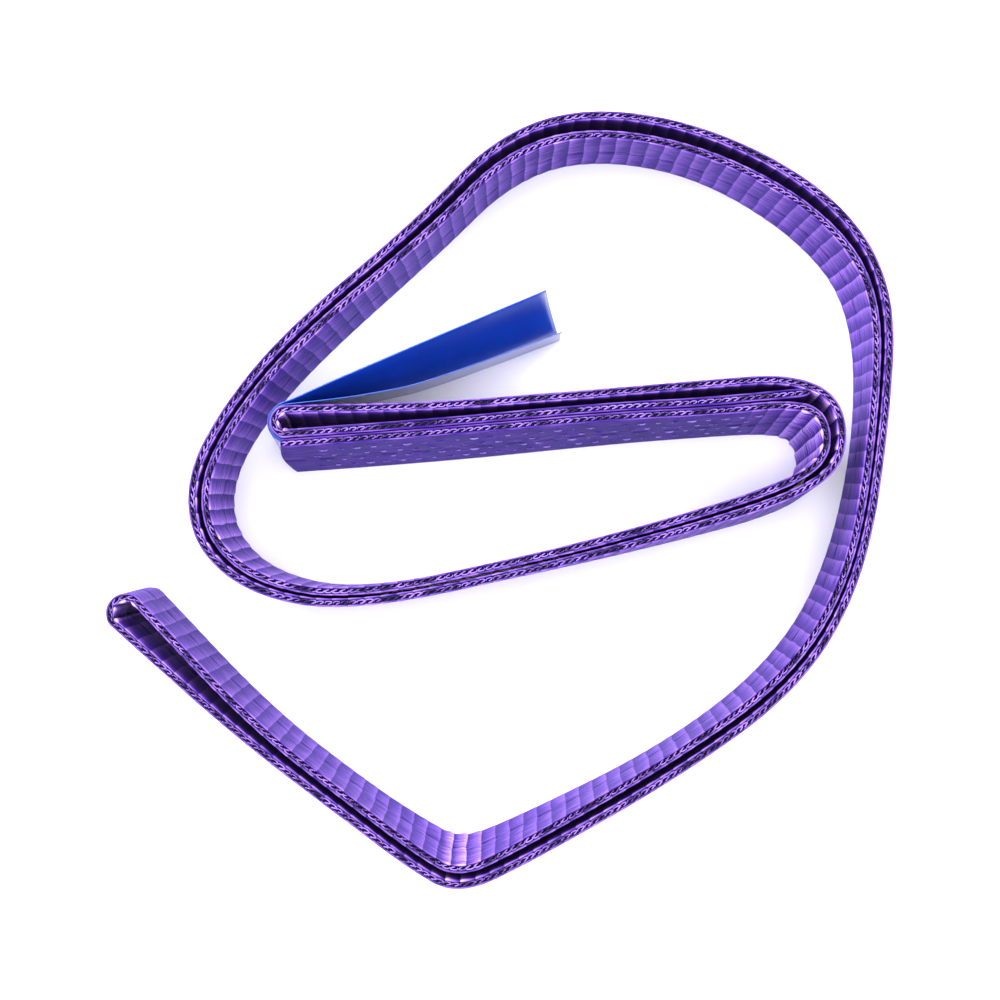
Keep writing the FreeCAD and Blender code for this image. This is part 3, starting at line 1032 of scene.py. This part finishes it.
def rib_tree() -> bpy.types.NodeTree:
    """Build the tree that raises the ribs of the weave on a plain swept web.

    Returns:
        The tree. Its inputs are the rib's pitch, its height on straight web and where the web is
        most crowded inside a bend, how uneven the ribs are, a seed and a material.
    """
    sockets = {
        "Rib Pitch": "Float",
        "Rib Height": "Float",
        "Crowded Height": "Float",
        "Unevenness": "Float",
        "Middle": "Float",
        "Seed": "Float",
        "Material": "Material",
    }
    tree, given = new_tree("woven_ribs", sockets)
    vector = {"data_type": "FLOAT_VECTOR"}
    place = add_node(tree, "GeometryNodeInputNamedAttribute", {"Name": "web_place"}, vector).outputs[0]
    state = add_node(tree, "GeometryNodeInputNamedAttribute", {"Name": "web_state"}, vector).outputs[0]
    at = add_node(tree, "ShaderNodeSeparateXYZ", {0: place})
    kept = add_node(tree, "ShaderNodeSeparateXYZ", {0: state})
    noise = add_node(
        tree,
        "ShaderNodeTexNoise",
        {"Vector": place, "W": given.outputs["Seed"], "Scale": 0.09, "Detail": 1.0},
        {"noise_dimensions": "4D"},
    ).outputs[0]
    wander = add_node(tree, "ShaderNodeMath", {0: noise, 1: 0.5}, {"operation": "SUBTRACT"}).outputs[0]
    wander = add_node(
        tree, "ShaderNodeMath", {0: wander, 1: given.outputs["Unevenness"]}, {"operation": "MULTIPLY"}
    ).outputs[0]
    phase = add_node(
        tree, "ShaderNodeMath", {0: at.outputs["X"], 1: given.outputs["Rib Pitch"]},
        {"operation": "DIVIDE"},
    ).outputs[0]
    phase = add_node(tree, "ShaderNodeMath", {0: phase, 1: wander}, {"operation": "ADD"}).outputs[0]
    share = add_node(tree, "ShaderNodeMath", {0: phase}, {"operation": "FRACT"}).outputs[0]
    smooth = {"interpolation_type": "SMOOTHSTEP"}
    rise = add_node(tree, "ShaderNodeMapRange", {"Value": share, 1: 0.0, 2: 0.2}, smooth).outputs[0]
    fall = add_node(
        tree, "ShaderNodeMapRange", {"Value": share, 1: 0.2, 2: 1.0, 3: 1.0, 4: 0.0}, smooth
    ).outputs[0]
    shape = add_node(tree, "ShaderNodeMath", {0: rise, 1: fall}, {"operation": "MULTIPLY"}).outputs[0]
    shape = add_node(tree, "ShaderNodeMath", {0: shape, 1: 0.45}, {"operation": "SUBTRACT"}).outputs[0]
    height = add_node(
        tree,
        "ShaderNodeMapRange",
        {
            "Value": kept.outputs["X"],
            1: 0.15,
            2: 1.0,
            3: given.outputs["Rib Height"],
            4: given.outputs["Crowded Height"],
        },
    ).outputs[0]
    pressed = add_node(
        tree, "ShaderNodeMath", {0: kept.outputs["Y"], 1: -0.8, 2: 1.0}, {"operation": "MULTIPLY_ADD"}
    ).outputs[0]
    uneven = add_node(tree, "ShaderNodeMath", {0: noise, 1: 0.5}, {"operation": "ADD"}).outputs[0]
    raised = shape
    for factor in (height, pressed, uneven):
        raised = add_node(
            tree, "ShaderNodeMath", {0: raised, 1: factor}, {"operation": "MULTIPLY"}
        ).outputs[0]
    # Every second rib is parted at mid-width.
    second = add_node(
        tree, "ShaderNodeMath", {0: phase, 1: 2.0}, {"operation": "FLOORED_MODULO"}
    ).outputs[0]
    parted = add_node(tree, "ShaderNodeMath", {0: second, 1: 1.0}, {"operation": "LESS_THAN"}).outputs[0]
    centre = add_node(
        tree, "ShaderNodeMath", {0: at.outputs["Y"], 1: given.outputs["Middle"], 2: 0.2},
        {"operation": "COMPARE"},
    ).outputs[0]
    slit = add_node(tree, "ShaderNodeMath", {0: parted, 1: centre}, {"operation": "MULTIPLY"}).outputs[0]
    lowered = add_node(
        tree, "ShaderNodeMath", {0: slit, 1: -0.16, 2: raised}, {"operation": "MULTIPLY_ADD"}
    ).outputs[0]
    kept_share = add_node(
        tree, "ShaderNodeMath", {0: lowered, 1: kept.outputs["Z"]}, {"operation": "MULTIPLY"}
    ).outputs[0]
    metres = add_node(
        tree, "ShaderNodeMath", {0: kept_share, 1: MM}, {"operation": "MULTIPLY"}
    ).outputs[0]
    normal = add_node(tree, "GeometryNodeInputNormal").outputs[0]
    normal = add_node(
        tree, "ShaderNodeVectorMath", {0: normal, 1: (1.0, 1.0, 0.2)}, {"operation": "MULTIPLY"}
    ).outputs[0]
    offset = add_node(
        tree, "ShaderNodeVectorMath", {0: normal, "Scale": metres}, {"operation": "SCALE"}
    ).outputs[0]
    stored = add_node(
        tree,
        "GeometryNodeStoreNamedAttribute",
        {"Geometry": given.outputs["Geometry"], "Name": "rib_phase", "Value": phase},
        {"data_type": "FLOAT", "domain": "POINT"},
    ).outputs[0]
    moved = add_node(tree, "GeometryNodeSetPosition", {"Geometry": stored, "Offset": offset})
    finish_tree(tree, moved.outputs[0])
    return tree


def row_tree(name: str) -> bpy.types.NodeTree:
    """Build the tree that sets one small piece along lines, a pitch apart.

    Args:
        name: the tree's name.

    Returns:
        The tree. Its inputs are the piece, the pitch, how much its size varies, a seed and a
        material.
    """
    sockets = {
        "Piece": "Object",
        "Pitch": "Float",
        "Variation": "Float",
        "Seed": "Int",
        "Material": "Material",
    }
    tree, given = new_tree(name, sockets)
    curve = add_node(tree, "GeometryNodeMeshToCurve", {"Mesh": given.outputs["Geometry"]})
    points = add_node(
        tree,
        "GeometryNodeCurveToPoints",
        {"Curve": curve.outputs[0], "Length": given.outputs["Pitch"]},
        {"mode": "LENGTH"},
    )
    up = add_node(
        tree,
        "GeometryNodeInputNamedAttribute",
        {"Name": "piece_up"},
        {"data_type": "FLOAT_VECTOR"},
    ).outputs[0]
    forward = add_node(
        tree,
        "FunctionNodeAlignRotationToVector",
        {"Vector": points.outputs["Tangent"]},
        {"axis": "X"},
    ).outputs[0]
    turned = add_node(
        tree,
        "FunctionNodeAlignRotationToVector",
        {"Rotation": forward, "Vector": up},
        {"axis": "Z", "pivot_axis": "X"},
    ).outputs[0]
    least = add_node(
        tree, "ShaderNodeMath", {0: 1.0, 1: given.outputs["Variation"]}, {"operation": "SUBTRACT"}
    ).outputs[0]
    scale = add_node(
        tree,
        "FunctionNodeRandomValue",
        {"Min": least, "Max": 1.0, "Seed": given.outputs["Seed"]},
        {"data_type": "FLOAT"},
    )
    size = next(s for s in scale.outputs if s.enabled)
    info = add_node(
        tree,
        "GeometryNodeObjectInfo",
        {"Object": given.outputs["Piece"]},
        {"transform_space": "ORIGINAL"},
    )
    instances = add_node(
        tree,
        "GeometryNodeInstanceOnPoints",
        {
            "Points": points.outputs["Points"],
            "Instance": info.outputs["Geometry"],
            "Rotation": turned,
            "Scale": size,
        },
    )
    finish_tree(tree, instances.outputs[0])
    return tree


# ---------------------------------------------------------------- the webbing


@dataclass(frozen=True)
class WebPiece:
    """One stretch of the web: what it rides on, and where it would bend between two bodies."""

    name: str
    spans: tuple[tuple[float, float], ...]
    bodies: tuple[str, ...]
    nodes: tuple[str, ...]
    bend_start: tuple[float, float, float] = (0.0, 0.0, 0.0)
    bend_end: tuple[float, float, float] = (0.0, 0.0, 0.0)

    def carry(self, piece: bpy.types.Object) -> None:
        """Make a piece of this stretch ride on its body; a piece between two bodies is only baked in place.
        """
        if len(self.bodies) == 1:
            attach(piece, self.bodies[0])
        else:
            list(self.bodies)
            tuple(self.bend_start)
            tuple(self.bend_end)
            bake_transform(piece)


@dataclass
class Webbing:
    """The one length of webbing, with its selvedges."""

    route: WebRoute
    ring_spacing: float = 0.575
    roll_radius: float = 0.2
    groove_depth: float = 0.42
    face_points: int = 13
    rib_pitch: float = 4.6
    rib_height: float = 0.08
    crowded_height: float = 0.8
    unevenness: float = 0.3
    link_pitch: float = 2.3
    link_half_length: float = 1.3
    link_half_width: float = 0.56
    link_tilt: float = 0.12
    link_turn: float = 0.3
    yarn_radius: float = 0.23
    link_inset: float = 0.42
    end_bulge: float = 1.5
    bulge_length: float = 5.0
    end_taper: float = 3.2
    start_taper: float = 0.9
    crowding_gain: float = 9.0
    press_fade: float = 12.0
    press_onset: float = 10.0

    def section(self) -> Section:
        """The web's outline: two faces, each rolled over at its edges, and a groove between."""
        half, width, radius = self.route.web / 2, self.route.width, self.roll_radius
        turn = np.radians((10.0, 60.0, 120.0, 180.0))
        roll = (half - radius + radius * np.cos(turn), width - radius + radius * np.sin(turn))
        middle, floor = width / 2, width - self.groove_depth
        rise = np.linspace(0.8, middle - 0.5, self.face_points // 2)
        face = np.concatenate((rise, (middle,), width - rise[::-1]))
        across = np.concatenate((np.full(len(face), half), roll[0], (0.0,), -roll[0][::-1]))
        up = np.concatenate((face, roll[1], (floor,), roll[1][::-1]))
        relief = np.concatenate((np.ones(len(face)), (1.0, 1.0, 0.8, 0.4), (0.0,), (0.4, 0.8, 1.0, 1.0)))
        return Section(
            np.concatenate((across, -across)),
            np.concatenate((up, width - up)),
            np.concatenate((relief, relief)),
        )

    def sewn_share(self, s: np.ndarray) -> np.ndarray:
        """How far the web is pressed flat by sewing, from 0 to 1, at these distances along it."""
        head = self.route.after("joint_head", Ply.INNER)
        under = 1 - np.clip((s - head) / self.press_fade + 0.5, 0, 1)
        over = np.clip((s - self.route.label_bight[1]) / self.press_onset, 0, 1)
        return np.maximum(under, over)

    def ring_places(self, start: float, end: float) -> np.ndarray:
        """Spread rings evenly over a span of the web."""
        return np.linspace(start, end, max(2, round((end - start) / self.ring_spacing)))

    def build(self, piece: WebPiece, tree: bpy.types.NodeTree, material: bpy.types.Material) -> None:
        """Make one stretch of web and put it on its body, or bake it in place when it lies between two.

        Args:
            piece: the stretch.
            tree: the tree that raises the ribs.
            material: the web's finish.
        """
        strip, section, length = self.route.strip, self.section(), self.route.strip.length
        parts, places, states = [], [], []
        for start, end in piece.spans:
            s = self.ring_places(start, end)
            to_end, to_start = (length - s) / self.end_taper, s / self.start_taper
            thin = np.sqrt(np.clip(1 - (1 - np.clip(to_end, 0, 1)) ** 2, 0.04, 1))
            thin *= np.sqrt(np.clip(1 - (1 - np.clip(to_start, 0, 1)) ** 2, 0.3, 1))
            fade = np.clip(1 - s / self.bulge_length, 0, 1)[:, None]
            bulge = -self.end_bulge * np.sin(math.pi * section.up / self.route.width)[None, :] * fade
            parts.append(sweep(strip, section, s, thin, bulge))
            shape = (len(s), len(section.up))
            along = np.broadcast_to(s[:, None], shape)
            up, across = (np.broadcast_to(v, shape) for v in (section.up, section.across))
            crowd = np.tanh(self.crowding_gain * strip.bend(s))[:, None] * np.sign(across)
            sewn = np.broadcast_to(self.sewn_share(s)[:, None], shape)
            relief = np.broadcast_to(section.relief, shape)
            places.append(np.stack((along, up, across), axis=-1).reshape(-1, 3))
            states.append(np.stack((crowd, sewn, relief), axis=-1).reshape(-1, 3))
        mesh = swept_mesh(piece.name, parts)
        set_vectors(mesh, "web_place", np.vstack(places))
        set_vectors(mesh, "web_state", np.vstack(states))
        values = {
            "Rib Pitch": self.rib_pitch,
            "Rib Height": self.rib_height,
            "Crowded Height": self.crowded_height,
            "Unevenness": self.unevenness,
            "Middle": self.route.width / 2,
            "Seed": 3.0,
            "Material": material,
        }
        made = run_tree(add_object(piece.name + "_plain", mesh), tree, values, piece.name)
        piece.carry(made)
        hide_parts(*piece.nodes)
        flat = (self.route.width * MM, sum(end - start for start, end in piece.spans) * MM)
        log.info("%s: %d faces, %.3f m of web", piece.name, len(made.data.polygons), flat[1])

    def link_object(self) -> bpy.types.Object:
        """Make the loop of yarn that the selvedge is a chain of."""
        angles = np.arange(9) * 2 * math.pi / 9
        x = self.link_half_length * np.cos(angles)
        y = self.link_half_width * np.sin(angles) * (1 - 0.35 * np.cos(angles))
        cosine, sine = math.cos(self.link_turn), math.sin(self.link_turn)
        rise = self.link_tilt * np.cos(angles)
        line = np.stack((x * cosine - y * sine, x * sine * 0.6 + y * cosine, rise), axis=-1)
        return add_object("link", tube_mesh("link", line, self.yarn_radius, 5, True))

    def build_selvedge(
        self,
        piece: WebPiece,
        tree: bpy.types.NodeTree,
        link: bpy.types.Object,
        material: bpy.types.Material,
    ) -> None:
        """Set the chain of loops along both edges of one stretch.

        Args:
            piece: the stretch.
            tree: the tree that sets pieces along lines.
            link: the loop.
            material: the yarn's finish.
        """
        strip, lines, ups = self.route.strip, [], []
        for start, end in piece.spans:
            s = np.linspace(start + 0.6, end - 1.0, max(2, round((end - start) / 0.8)))
            for height, up in ((self.route.width - self.link_inset, 1.0), (self.link_inset, -1.0)):
                lines.append(strip.place(s, np.zeros(len(s)), np.full(len(s), height)))
                ups.append(np.tile((0.0, 0.0, up), (len(s), 1)))
        source = line_object(piece.name + "_edges", lines, ups)
        values = {
            "Piece": link,
            "Pitch": self.link_pitch * MM,
            "Variation": 0.25,
            "Seed": 5,
            "Material": material,
        }
        made = run_tree(source, tree, values, piece.name.replace("web_", "selvedge_"))
        piece.carry(made)
        log.info("%s: %d faces", made.name, len(made.data.polygons))


@dataclass
class Sewing:
    """The rows of stitches through the joint, on both of its faces."""

    route: WebRoute
    rows: int = 4
    row_pitch: float = 6.0
    stitch_pitch: float = 4.8
    stitch_half: float = 1.3
    thread_radius: float = 0.24
    first_stitch: float = 9.0

    def stitch_object(self) -> bpy.types.Object:
        """Make one stitch, whose ends dive into the web."""
        x = np.linspace(-self.stitch_half, self.stitch_half, 7)
        rise = 0.22 * (1 - (x / self.stitch_half) ** 2) - 0.12
        line = np.stack((x, np.zeros(len(x)), rise), axis=-1)
        return add_object("stitch", tube_mesh("stitch", line, self.thread_radius, 6, False))

    def build(
        self,
        name: str,
        span: tuple[float, float],
        side: float,
        stitch: bpy.types.Object,
        tree: bpy.types.NodeTree,
        material: bpy.types.Material,
    ) -> None:
        """Sew all the rows of one face.

        Args:
            name: the piece's name, which its nodes' names start with.
            span: where the rows start and end along the web.
            side: +1 for the web's left face, and -1 for its right face.
            stitch: the stitch.
            tree: the tree that sets pieces along lines.
            material: the thread's finish.
        """
        strip, lines, ups = self.route.strip, [], []
        s = np.linspace(*span, round((span[1] - span[0]) / 2.0))
        proud = np.full(len(s), side * (self.route.web / 2 + 0.1))
        for row in range(self.rows):
            height = self.route.width / 2 + (row - (self.rows - 1) / 2) * self.row_pitch
            shifted = s + (row % 2) * self.stitch_pitch / 2
            lines.append(strip.place(shifted, proud, np.full(len(s), height)))
            face = left_of(unit(strip.read(strip.tangent, shifted))) * side
            ups.append(np.column_stack((face, np.full(len(s), 0.2))))
        values = {
            "Piece": stitch,
            "Pitch": self.stitch_pitch * MM,
            "Variation": 0.7,
            "Seed": 11,
            "Material": material,
        }
        made = run_tree(line_object(name + "_rows", lines, ups), tree, values, name + "_stitches")
        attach(made, "coil")
        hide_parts(*[f"{name}_thread_{row + 1}" for row in range(self.rows)])
        log.info("%s: %d faces", made.name, len(made.data.polygons))


# ---------------------------------------------------------------- the label


@dataclass
class Label:
    """The two-leaf label: each leaf comes out of the joint, round the fold, and stands free."""

    route: WebRoute
    height: float = 29.0
    film: float = 0.26
    layer_gap: float = 0.2
    wrap_clearance: float = 0.16
    ring_spacing: float = 1.0
    rows: int = 24
    serration: float = 0.14
    leaf_length: float = 78.0
    dish_length: float = 60.0

    def corners(self, leaf: list[tuple[float, ...]], layer: float, lean: float) -> np.ndarray:
        """One leaf's corners along one edge, from the joint round the fold to its free end.

        Args:
            leaf: the leaf's own corners.
            layer: how far the layer lies from the middle of the web that it goes round.
            lean: 0 for the upper edge, and 1 for the lower one.

        Returns:
            The corners.
        """
        route, top = self.route, self.height / self.route.width
        edges = []
        for ply in (Ply.OUTER, Ply.INNER):
            low, high = route.ply_corners(ply, 1.0), route.ply_corners(ply, 0.0)
            edges.append((low + (high - low) * top * (1 - lean))[:3])
        over = route.web + route.joint_clearance
        outer = offset_corners(edges[0], np.full(3, layer))[0]
        inner = offset_corners(edges[1], np.full(3, over - layer))[0]
        ahead = unit(edges[1][1] - edges[1][0])
        outer, inner = outer + ahead * route.label_bight_setback, inner + ahead * route.label_bight_setback
        table = np.array(leaf)
        own = table[:, :2] + SHIFT - table[:, 2:] * lean
        turn = half_turn(inner, outer, -ahead, route.bight_corners)
        return np.vstack(([inner + ahead * 1.5], [inner], turn, own))

    def section(self) -> Section:
        """The film's outline: two faces with a cut edge at the top and the bottom."""
        up = np.linspace(0.0, self.height, self.rows)
        half = self.film / 2
        across = np.concatenate((np.full(self.rows, half), (half * 0.5, -half * 0.5)))
        rise = np.concatenate((up, (self.height + 0.05, self.height + 0.05)))
        both = np.concatenate((across, -across))
        rise = np.concatenate((rise, self.height - rise))
        return Section(both, rise, np.ones(len(rise)))

    def build(
        self,
        name: str,
        leaf: list[tuple[float, ...]],
        layer: float,
        bow: float,
        body: str,
        nodes: tuple[str, ...],
        material: bpy.types.Material,
    ) -> None:
        """Make one leaf and bake it in place.

        Args:
            name: the leaf's name.
            leaf: its corners.
            layer: how far its layer lies from the middle of the web at the fold.
            bow: how far it is dished at its free end.
            body: the body whose joint is looked up; the leaf is baked in place and does not follow it.
            nodes: the nodes that it stands for.
            material: the film's finish.
        """
        low, high = self.corners(leaf, layer, 1.0), self.corners(leaf, layer, 0.0)
        strip, section = Strip(low, high, self.height), self.section()
        s = np.linspace(0.0, strip.length, round(strip.length / self.ring_spacing))
        count = len(section.up)
        tooth = np.where(np.arange(count) % 2, self.serration, -self.serration)
        shift = np.zeros((len(s), count))
        shift[-1] = tooth
        points, faces = sweep(strip, section, s, None, shift)
        root = strip.length - self.leaf_length
        grown = np.clip((s - root) / self.dish_length, 0, 1) ** 1.5
        dish = np.sin(math.pi * np.clip(section.up / self.height, 0, 1))
        side = left_of(unit(strip.read(strip.tangent, s)))
        grid = points.reshape(len(s), count, 3)
        grid[..., :2] += side[:, None] * (bow * grown[:, None] * dish[None, :])[..., None]
        mesh = swept_mesh(name, [(grid.reshape(-1, 3), faces)])
        shape = (len(s), count)
        along = np.broadcast_to(s[:, None], shape)
        up, across = (np.broadcast_to(v, shape) for v in (section.up, section.across))
        set_vectors(mesh, "label_place", np.stack((along, up, across), axis=-1).reshape(-1, 3))
        mesh.materials.append(material)
        made = add_object(name, mesh)
        joint = next(j for j in frame["joints"] if j["child"] == body)
        hinge = np.array(joint["pos_m"])
        ahead = np.append(unit(np.array(leaf[2][:2]) - np.array(leaf[0][:2])), 0.0)
        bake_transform(made)
        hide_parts(*nodes)
        flat = (self.height * MM, strip.length * MM)
        log.info("%s: %d faces, %.3f m long", name, len(mesh.polygons), flat[1])


# ---------------------------------------------------------------- studio


@dataclass(frozen=True)
class Lamp:
    """A soft lamp: where it stands round the object, how large it is and its power in watts."""

    name: str
    azimuth: float
    elevation: float
    power: float
    size: float = 0.5
    distance: float = 0.9

    def add(self, aim: Vector) -> None:
        """Put the lamp in the scene, turned to a point."""
        data = bpy.data.lights.new(self.name, "AREA")
        data.energy, data.size = self.power, self.size
        turn, lift = math.radians(self.azimuth), math.radians(self.elevation)
        away = Vector((math.sin(turn) * math.cos(lift), math.cos(turn) * math.cos(lift), math.sin(lift)))
        lamp = bpy.data.objects.new(self.name, data)
        lamp.location = aim + away * self.distance
        lamp.rotation_mode = "QUATERNION"
        lamp.rotation_quaternion = (-away).to_track_quat("-Z", "Y")
        bpy.context.scene.collection.objects.link(lamp)


@dataclass
class Studio:
    """The floor, the soft light and the camera straight overhead."""

    lamps: tuple[Lamp, ...] = (
        Lamp("north_east_lamp", 50.0, 32.0, 5.2),
        Lamp("south_lamp", 180.0, 32.0, 2.4),
        Lamp("west_lamp", 270.0, 32.0, 2.6),
        Lamp("north_west_lamp", 315.0, 32.0, 8.8),
        Lamp("overhead_lamp", 0.0, 89.0, 8.5, 0.6),
    )
    sky: float = 0.4
    camera_height: float = 450.0
    focal_length: float = 53.46
    floor_size: float = 6.0

    def build(self) -> None:
        """Make the studio."""
        scene = bpy.context.scene
        world = bpy.data.worlds.new("soft_sky")
        world.use_nodes = True
        back = world.node_tree.nodes["Background"]
        back.inputs["Color"].default_value = linear("#FFFFFF")
        back.inputs["Strength"].default_value = self.sky
        scene.world = world
        scene.view_settings.view_transform = "Standard"
        half = self.floor_size / 2
        mesh = bpy.data.meshes.new("floor")
        corners = [(-half, -half, 0.0), (half, -half, 0.0), (half, half, 0.0), (-half, half, 0.0)]
        mesh.from_pydata(corners, [], [(0, 1, 2, 3)])
        mesh.materials.append(PaleBoard().make())
        add_object("floor", mesh)
        for lamp in self.lamps:
            lamp.add(Vector((0.0, 0.0, 0.0)))
        data = bpy.data.cameras.new("camera")
        data.lens, data.sensor_width, data.clip_start = self.focal_length, 36.0, 0.01
        camera = bpy.data.objects.new("camera", data)
        camera.location = (SHIFT[0] * MM, SHIFT[1] * MM, self.camera_height * MM)
        scene.collection.objects.link(camera)
        scene.camera = camera
        log.info("studio: %d lamps", len(self.lamps))


def web_pieces(route: WebRoute) -> list[WebPiece]:
    """Cut the web into stretches that each ride on one body or lie between two.

    Args:
        route: the web's route.

    Returns:
        The stretches, in order along the sling.
    """
    cuts = [
        (route.after(station, Ply.INNER), route.after(station, Ply.OUTER))
        for station in ("rise_low", "crown_top", "fall_high")
    ]
    (rise_in, rise_out), (crown_in, crown_out), (fall_in, fall_out) = cuts

    def both(*stretches: str) -> tuple[str, ...]:
        """Name the nodes of both plies of some stretches."""
        return tuple(f"web_{stretch}_{ply}" for stretch in stretches for ply in ("outer", "inner"))

    joint = ("web_joint_under_ply", "web_joint_over_ply", "web_joint_outer_ply", "web_label_bight")
    return [
        WebPiece(
            "web_coil",
            ((0.0, rise_in), (rise_out, route.strip.length)),
            ("coil",),
            joint + both("hairpin", "lower_run", "left_bend", "rise"),
        ),
        WebPiece(
            "web_rise_to_crown",
            ((rise_in, crown_in), (crown_out, rise_out)),
            ("coil", "crown"),
            both("crown"),
            (-0.025, 0.074, 0.015),
            (0.005, 0.102, 0.015),
        ),
        WebPiece(
            "web_crown_to_fall",
            ((crown_in, fall_in), (fall_out, crown_out)),
            ("crown", "flank"),
            both("shoulder", "side"),
            (0.108, 0.060, 0.015),
            (0.106, 0.022, 0.015),
        ),
        WebPiece(
            "web_fall_to_free_bight",
            ((fall_in, fall_out),),
            ("flank", "leg"),
            both("fall", "corner", "leg") + ("web_free_bight",),
            (-0.001, -0.108, 0.015),
            (-0.036, -0.098, 0.015),
        ),
    ]


def main() -> None:
    """Build the sling's looks and its studio."""
    logging.basicConfig(level=logging.INFO, format="%(name)s %(message)s")
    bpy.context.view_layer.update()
    route = WebRoute(width=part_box("web_crown_outer")[1].z / MM)
    webbing, sewing, label = Webbing(route), Sewing(route), Label(route)
    log.info("web: %.3f m long", route.strip.length * MM)

    cloth = WovenWeb().make(route.width, route.web)
    # The light colours of both threads are painted glints mixed with random tone.
    yarn = SewingThread("selvedge_polyester_yarn", "#A27CEC", "#180848").make()
    thread = SewingThread("bonded_sewing_thread", "#A48CE2", "#34208A").make()
    ribs, rows = rib_tree(), row_tree("row_of_pieces")
    link, stitch = webbing.link_object(), sewing.stitch_object()
    for piece in web_pieces(route):
        webbing.build(piece, ribs, cloth)
        webbing.build_selvedge(piece, rows, link, yarn)
    joint_end = route.after("joint_head", Ply.INNER)
    over_start = route.label_bight[1]
    sewing.build("needle", (sewing.first_stitch, joint_end), -1.0, stitch, rows, thread)
    over_end = route.strip.length - webbing.end_taper - 10.0
    sewing.build("bobbin", (over_start + sewing.first_stitch, over_end), 1.0, stitch, rows, thread)
    for helper in (link, stitch):
        bpy.data.objects.remove(helper)

    film = LabelFilm().make(label.film / 2)
    nearest = route.web / 2 + label.wrap_clearance + label.film / 2
    layers = (nearest + label.film + label.layer_gap, nearest)
    outer, inner = ("label_outer_leaf", "label_wrap"), ("label_inner_leaf",)
    label.build("label_outer", OUTER_LEAF, layers[0], 1.6, "label_outer", outer, film)
    label.build("label_inner", INNER_LEAF, layers[1], 0.5, "label_inner", inner, film)
    tail = frame["nodes"]["label_tail"]
    tail.data.materials.clear()
    tail.data.materials.append(film)

    Studio().build()


if __name__ == "__main__":
    main()
